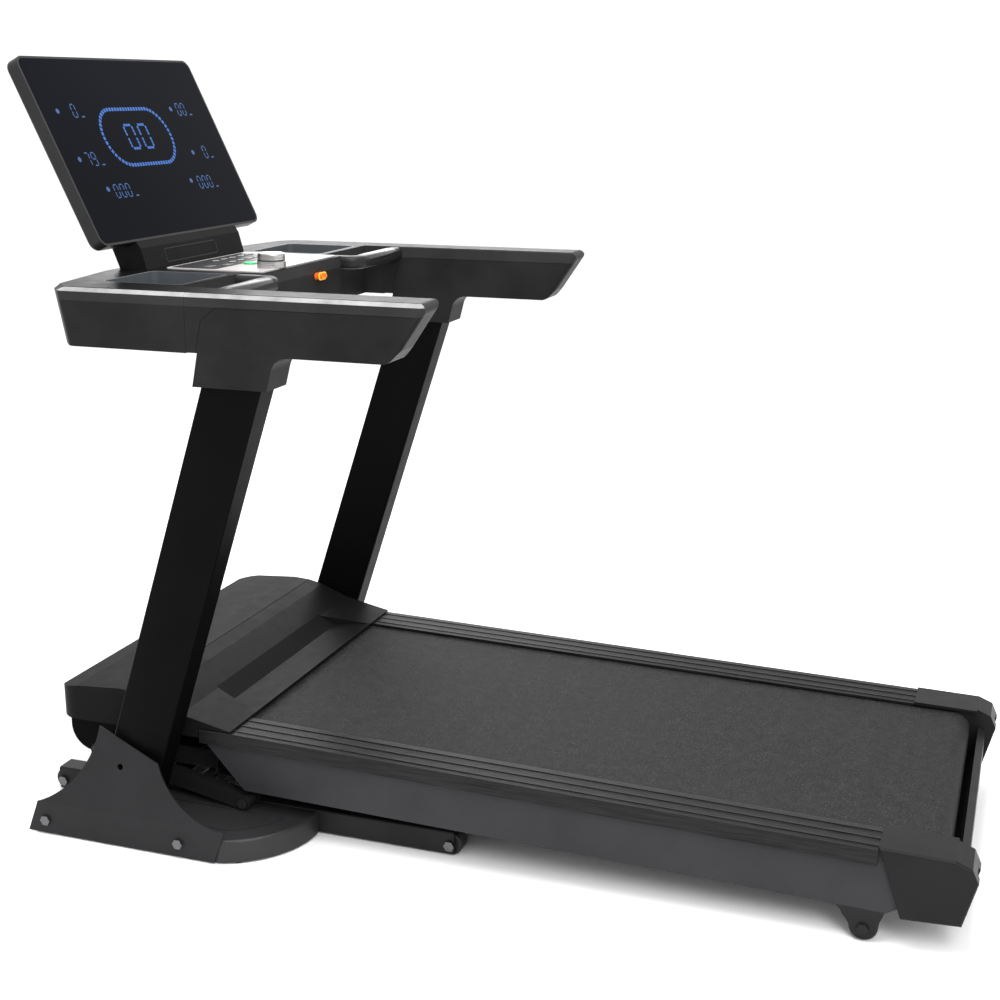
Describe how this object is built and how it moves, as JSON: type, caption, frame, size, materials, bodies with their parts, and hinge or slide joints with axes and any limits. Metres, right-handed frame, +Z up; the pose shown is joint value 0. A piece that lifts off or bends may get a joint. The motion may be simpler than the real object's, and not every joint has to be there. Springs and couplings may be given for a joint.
{
  "type": "treadmill",
  "caption": "Folding treadmill with a sloped running deck, leaning uprights, console with storage trays, side handles, cross grips and a tilted flat display.",
  "frame": {"origin": "centre of the footprint of the whole machine, on the floor", "axes": "+Z up, +Y forwards towards the display, +X to the user's right"},
  "size_m": [0.89, 1.6155, 1.292],
  "materials": {
    "frame_paint": "satin powder coat",
    "black_plastic": "fine grained satin",
    "tray_plastic": "fine grained",
    "grip_rubber": "soft satin",
    "zinc_steel": "zinc plated",
    "foot_rubber": "matt",
    "control_silver": "satin silver",
    "screen_shell": "piano black",
    "screen_face": "glossy, tinted",
    "rail_aluminium": "black anodised, ribbed",
    "board_wood": "waxed fibreboard",
    "belt_rubber": "woven top, speckled",
    "drive_rubber": "ribbed",
    "motor_iron": "gloss enamel",
    "strut_paint": "gloss enamel",
    "roller_steel": "turned",
    "wheel_plastic": "matt",
    "knob_metal": "turned and lacquered",
    "key_green": "gloss",
    "key_grey": "satin",
    "safety_red": "gloss"
  },
  "bodies": {
    "base": {"base_beam_left": "frame_paint", "base_beam_right": "frame_paint", "base_crossbars": "frame_paint", "foot_left": "black_plastic", "foot_right": "black_plastic", "foot_plate_left": "frame_paint", "foot_plate_right": "frame_paint", "upright_left": "frame_paint", "upright_right": "frame_paint", "base_pads": "foot_rubber", "base_bolts": "zinc_steel", "handle_left": "black_plastic", "handle_right": "black_plastic", "grip_bar_left": "grip_rubber", "grip_bar_right": "grip_rubber", "console_body": "black_plastic", "console_base": "black_plastic", "tray_left": "tray_plastic", "tray_right": "tray_plastic", "control_plate": "control_silver", "neck": "black_plastic", "screen_housing": "screen_shell", "screen_glass": "screen_face"},
    "lift_frame": {"lift_frame": "frame_paint"},
    "hinge_yoke": {"hinge_yoke": "zinc_steel"},
    "strut_cylinder": {"strut_cylinder": "strut_paint"},
    "strut_rod": {"strut_rod": "zinc_steel"},
    "deck": {"rail_left": "rail_aluminium", "rail_right": "rail_aluminium", "side_beam_left": "frame_paint", "side_beam_right": "frame_paint", "cross_members": "frame_paint", "deck_board": "board_wood", "running_belt": "belt_rubber", "roller_axles": "zinc_steel", "end_cap_left": "black_plastic", "end_cap_right": "black_plastic", "rear_cover": "black_plastic", "wheel_brackets": "frame_paint", "motor_tray": "frame_paint", "motor": "motor_iron", "drive_belt": "drive_rubber", "hood": "black_plastic", "belly_pan": "black_plastic", "power_inlet": "black_plastic"},
    "front_roller": {"front_roller": "roller_steel"},
    "rear_roller": {"rear_roller": "roller_steel"},
    "motor_pulley": {"motor_pulley": "zinc_steel"},
    "base_wheel_front_left": {"base_wheel_front_left": "wheel_plastic"},
    "base_wheel_rear_left": {"base_wheel_rear_left": "wheel_plastic"},
    "deck_wheel_left": {"deck_wheel_left": "wheel_plastic"},
    "base_wheel_front_right": {"base_wheel_front_right": "wheel_plastic"},
    "base_wheel_rear_right": {"base_wheel_rear_right": "wheel_plastic"},
    "deck_wheel_right": {"deck_wheel_right": "wheel_plastic"},
    "knob": {"knob": "knob_metal"},
    "start_key": {"start_key": "key_green"},
    "key_plus": {"key_plus": "key_grey"},
    "key_minus": {"key_minus": "key_grey"},
    "safety_key": {"safety_key": "safety_red"}
  },
  "joints": [
    {"name": "incline", "type": "hinge", "parent": "base", "child": "lift_frame", "pos_m": [0, 0.398, 0.056], "axis": [1, 0, 0], "range_deg": [0, 15]},
    {"name": "deck_level", "type": "hinge", "parent": "lift_frame", "child": "hinge_yoke", "pos_m": [0, 0.685, 0.11], "axis": [-1, 0, 0], "range_deg": [0, 12]},
    {"name": "fold", "type": "hinge", "parent": "hinge_yoke", "child": "deck", "pos_m": [0, 0.685, 0.11], "axis": [-1, 0, 0], "range_deg": [0, 60]},
    {"name": "strut_swing", "type": "hinge", "parent": "hinge_yoke", "child": "strut_cylinder", "pos_m": [0, 0.56718, 0.05506], "axis": [-1, 0, 0], "range_deg": [0, 30.2]},
    {"name": "strut_extend", "type": "slide", "parent": "strut_cylinder", "child": "strut_rod", "axis": [0, 0.0872, 0.9962], "range_m": [0, 0.0954]},
    {"name": "front_roller_spin", "type": "hinge", "parent": "deck", "child": "front_roller", "pos_m": [0, 0.44887, 0.15207], "axis": [1, 0, 0], "continuous": true},
    {"name": "rear_roller_spin", "type": "hinge", "parent": "deck", "child": "rear_roller", "pos_m": [0, -0.73526, 0.1223], "axis": [1, 0, 0], "continuous": true},
    {"name": "motor_spin", "type": "hinge", "parent": "deck", "child": "motor_pulley", "pos_m": [0, 0.625, 0.185], "axis": [1, 0, 0], "continuous": true},
    {"name": "base_wheel_front_left_spin", "type": "hinge", "parent": "base", "child": "base_wheel_front_left", "pos_m": [0, 0.788, 0.02], "axis": [1, 0, 0], "continuous": true},
    {"name": "base_wheel_rear_left_spin", "type": "hinge", "parent": "base", "child": "base_wheel_rear_left", "pos_m": [0, 0.033, 0.02], "axis": [1, 0, 0], "continuous": true},
    {"name": "deck_wheel_left_spin", "type": "hinge", "parent": "deck", "child": "deck_wheel_left", "pos_m": [0, -0.648, 0.022], "axis": [1, 0, 0], "continuous": true},
    {"name": "base_wheel_front_right_spin", "type": "hinge", "parent": "base", "child": "base_wheel_front_right", "pos_m": [0, 0.788, 0.02], "axis": [1, 0, 0], "continuous": true},
    {"name": "base_wheel_rear_right_spin", "type": "hinge", "parent": "base", "child": "base_wheel_rear_right", "pos_m": [0, 0.033, 0.02], "axis": [1, 0, 0], "continuous": true},
    {"name": "deck_wheel_right_spin", "type": "hinge", "parent": "deck", "child": "deck_wheel_right", "pos_m": [0, -0.648, 0.022], "axis": [1, 0, 0], "continuous": true},
    {"name": "knob_turn", "type": "hinge", "parent": "base", "child": "knob", "pos_m": [-0.07, 0.437, 0.955], "axis": [0, 0, 1], "continuous": true},
    {"name": "start_key_press", "type": "slide", "parent": "base", "child": "start_key", "axis": [0, 0, -1], "range_m": [0, 0.0015], "stiffness_N_per_m": 400, "springref_m": -0.001},
    {"name": "key_plus_press", "type": "slide", "parent": "base", "child": "key_plus", "axis": [0, 0, -1], "range_m": [0, 0.0015], "stiffness_N_per_m": 400, "springref_m": -0.001},
    {"name": "key_minus_press", "type": "slide", "parent": "base", "child": "key_minus", "axis": [0, 0, -1], "range_m": [0, 0.0015], "stiffness_N_per_m": 400, "springref_m": -0.001},
    {"name": "safety_key_pull", "type": "slide", "parent": "base", "child": "safety_key", "axis": [0, -1, 0], "range_m": [0, 0.03]}
  ],
  "couplings": [
    {"joint": "deck_level", "follows": "incline", "ratio": 0.7919},
    {"joint": "strut_swing", "follows": "fold", "ratio": 0.5},
    {"joint": "strut_extend", "follows": "fold", "m_per_rad": 0.090877},
    {"joint": "rear_roller_spin", "follows": "front_roller_spin", "ratio": 1},
    {"joint": "motor_spin", "follows": "front_roller_spin", "ratio": 1.6923}
  ]
}
